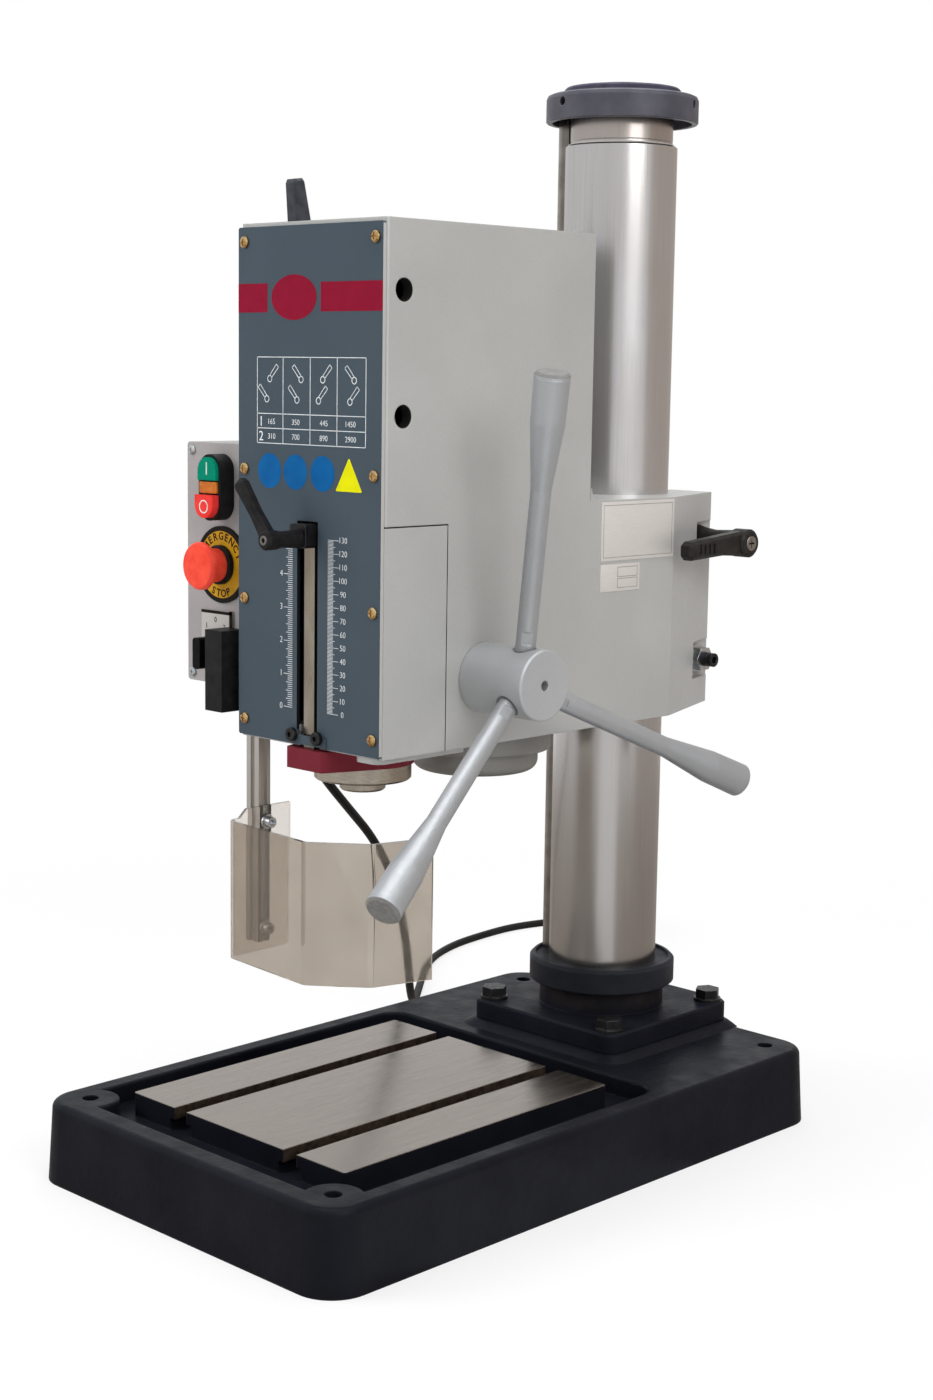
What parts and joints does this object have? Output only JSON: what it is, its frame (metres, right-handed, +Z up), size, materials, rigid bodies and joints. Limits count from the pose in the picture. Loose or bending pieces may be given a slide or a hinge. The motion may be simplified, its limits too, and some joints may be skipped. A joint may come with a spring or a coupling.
{
  "type": "bench drilling machine",
  "caption": "Bench drilling machine: gear head clamped on a round column over a T-slotted cast base, with feed arms, depth stop, swing guard and control box.",
  "frame": {"origin": "on the floor under the middle of the base casting", "axes": "+Z up, +X to the operator's right, -Y to the front"},
  "size_m": [0.6269, 0.974, 0.875],
  "materials": {
    "stand_paint": "satin",
    "head_paint": "satin hammered",
    "panel_paint": "fine matt",
    "red_paint": "satin",
    "ground_steel": "ground",
    "dark_steel": "blackened",
    "gunmetal": "satin",
    "zinc_steel": "plated",
    "brass": "satin",
    "satin_aluminium": "satin",
    "box_paint": "satin",
    "black_plastic": "fine grain",
    "red_plastic": "gloss",
    "green_plastic": "gloss",
    "yellow_plastic": "gloss",
    "amber_lens": "gloss",
    "clear_guard": "polished",
    "lead_rubber": "matt"
  },
  "bodies": {
    "stand": {"base_casting": "stand_paint", "column_flange": "stand_paint", "flange_bolts": "zinc_steel", "column": "ground_steel", "lower_collar": "dark_steel", "upper_collar": "gunmetal", "column_cap": "black_plastic"},
    "rack": {"elevating_rack": "ground_steel", "lead_coil": "lead_rubber", "lead_plug": "lead_rubber"},
    "head": {"head_housing": "head_paint", "front_panel": "panel_paint", "panel_screws": "brass", "side_cover": "head_paint", "clamp_studs": "zinc_steel", "clamp_nuts": "zinc_steel", "motor_body": "gunmetal", "fan_cowl": "gunmetal", "control_box": "box_paint", "control_cover": "box_paint", "cover_screws": "zinc_steel", "button_surround": "black_plastic", "pilot_lens": "amber_lens", "estop_disc": "yellow_plastic", "estop_collar": "black_plastic", "switch_plate": "satin_aluminium", "guard_pivot_block": "black_plastic", "cable_gland": "black_plastic", "mains_lead": "lead_rubber", "spring_cup": "dark_steel", "bar_guide": "panel_paint", "guide_screws": "dark_steel"},
    "clamp_lever": {"clamp_lever": "black_plastic"},
    "quill": {"quill": "ground_steel", "quill_bearings": "zinc_steel", "quill_bracket": "red_paint", "depth_bar": "zinc_steel"},
    "depth_stop": {"depth_stop_block": "dark_steel"},
    "stop_lever": {"depth_stop_lever": "black_plastic"},
    "spindle": {"spindle": "ground_steel"},
    "drive_sleeve": {"drive_sleeve": "ground_steel"},
    "layshaft": {"layshaft": "ground_steel"},
    "motor_rotor": {"motor_rotor": "gunmetal"},
    "feed": {"feed_shaft": "ground_steel", "feed_hub": "satin_aluminium", "feed_arm_1": "satin_aluminium", "feed_arm_2": "satin_aluminium", "feed_arm_3": "satin_aluminium"},
    "shift_upper": {"shift_lever_upper": "black_plastic"},
    "shift_lower": {"shift_lever_lower": "black_plastic"},
    "start_button": {"start_button": "green_plastic"},
    "stop_button": {"stop_button": "red_plastic"},
    "estop_button": {"estop_button": "red_plastic"},
    "switch_handle": {"switch_handle": "black_plastic"},
    "guard": {"guard_profile": "satin_aluminium", "guard_pivot_pin": "zinc_steel", "guard_shield": "clear_guard", "guard_screws": "zinc_steel"},
    "elevator": {"elevating_pinion": "ground_steel", "elevating_crank": "dark_steel"}
  },
  "joints": [
    {"name": "column_swing", "type": "hinge", "parent": "stand", "child": "rack", "pos_m": [0, 0.199, 0.4], "axis": [0, 0, 1], "range_deg": [-45, 45]},
    {"name": "head_lift", "type": "slide", "parent": "rack", "child": "head", "axis": [0, 0, 1], "range_m": [-0.09, 0.3]},
    {"name": "elevating_crank", "type": "hinge", "parent": "head", "child": "elevator", "pos_m": [-0.0655, 0.199, 0.445], "axis": [0, 1, 0], "range_deg": [-430, 1433]},
    {"name": "clamp_lever", "type": "hinge", "parent": "head", "child": "clamp_lever", "pos_m": [0.06, 0.259, 0.495], "axis": [1, 0, 0], "range_deg": [-60, 60]},
    {"name": "quill_feed", "type": "slide", "parent": "head", "child": "quill", "axis": [0, 0, -1], "range_m": [0, 0.13], "stiffness_N_per_m": 150, "springref_m": -0.55},
    {"name": "feed_handle", "type": "hinge", "parent": "head", "child": "feed", "pos_m": [0, -0.043, 0.405], "axis": [1, 0, 0], "range_deg": [-1, 415]},
    {"name": "depth_stop", "type": "slide", "parent": "quill", "child": "depth_stop", "axis": [0, 0, 1], "range_m": [-0.12, 0]},
    {"name": "stop_lever", "type": "hinge", "parent": "depth_stop", "child": "stop_lever", "pos_m": [0, -0.18, 0.511], "axis": [0, 1, 0], "range_deg": [-60, 60]},
    {"name": "motor_spin", "type": "hinge", "parent": "head", "child": "motor_rotor", "pos_m": [0, 0.0325, 0.45], "axis": [0, 0, 1], "continuous": true},
    {"name": "layshaft_spin", "type": "hinge", "parent": "head", "child": "layshaft", "pos_m": [0, -0.0305, 0.65], "axis": [0, 0, 1], "continuous": true},
    {"name": "sleeve_spin", "type": "hinge", "parent": "head", "child": "drive_sleeve", "pos_m": [0, -0.0935, 0.65], "axis": [0, 0, 1], "continuous": true},
    {"name": "spindle_spin", "type": "hinge", "parent": "quill", "child": "spindle", "pos_m": [0, -0.0935, 0.4], "axis": [0, 0, 1], "continuous": true},
    {"name": "upper_shift", "type": "hinge", "parent": "head", "child": "shift_upper", "pos_m": [-0.08, -0.075, 0.6934], "axis": [1, 0, 0], "range_deg": [-37, 22]},
    {"name": "lower_shift", "type": "hinge", "parent": "head", "child": "shift_lower", "pos_m": [-0.08, -0.075, 0.603], "axis": [1, 0, 0], "range_deg": [-37, 22]},
    {"name": "start_press", "type": "slide", "parent": "head", "child": "start_button", "axis": [0, 1, 0], "range_m": [0, 0.003], "stiffness_N_per_m": 500, "springref_m": -0.002},
    {"name": "stop_press", "type": "slide", "parent": "head", "child": "stop_button", "axis": [0, 1, 0], "range_m": [0, 0.003], "stiffness_N_per_m": 500, "springref_m": -0.002},
    {"name": "estop_press", "type": "slide", "parent": "head", "child": "estop_button", "axis": [0, 1, 0], "range_m": [0, 0.0045]},
    {"name": "switch_turn", "type": "hinge", "parent": "head", "child": "switch_handle", "pos_m": [-0.1255, -0.14, 0.412], "axis": [0, 1, 0], "range_deg": [-60, 60]},
    {"name": "guard_swing", "type": "hinge", "parent": "head", "child": "guard", "pos_m": [-0.0965, -0.1175, 0.37], "axis": [0, 0, 1], "range_deg": [-100, 0]}
  ],
  "couplings": [
    {"joint": "elevating_crank", "follows": "head_lift", "rad_per_m": 83.333},
    {"joint": "feed_handle", "follows": "quill_feed", "rad_per_m": 55.556},
    {"joint": "layshaft_spin", "follows": "motor_spin", "ratio": -0.5},
    {"joint": "sleeve_spin", "follows": "motor_spin", "ratio": 0.25},
    {"joint": "spindle_spin", "follows": "motor_spin", "ratio": 0.25}
  ]
}
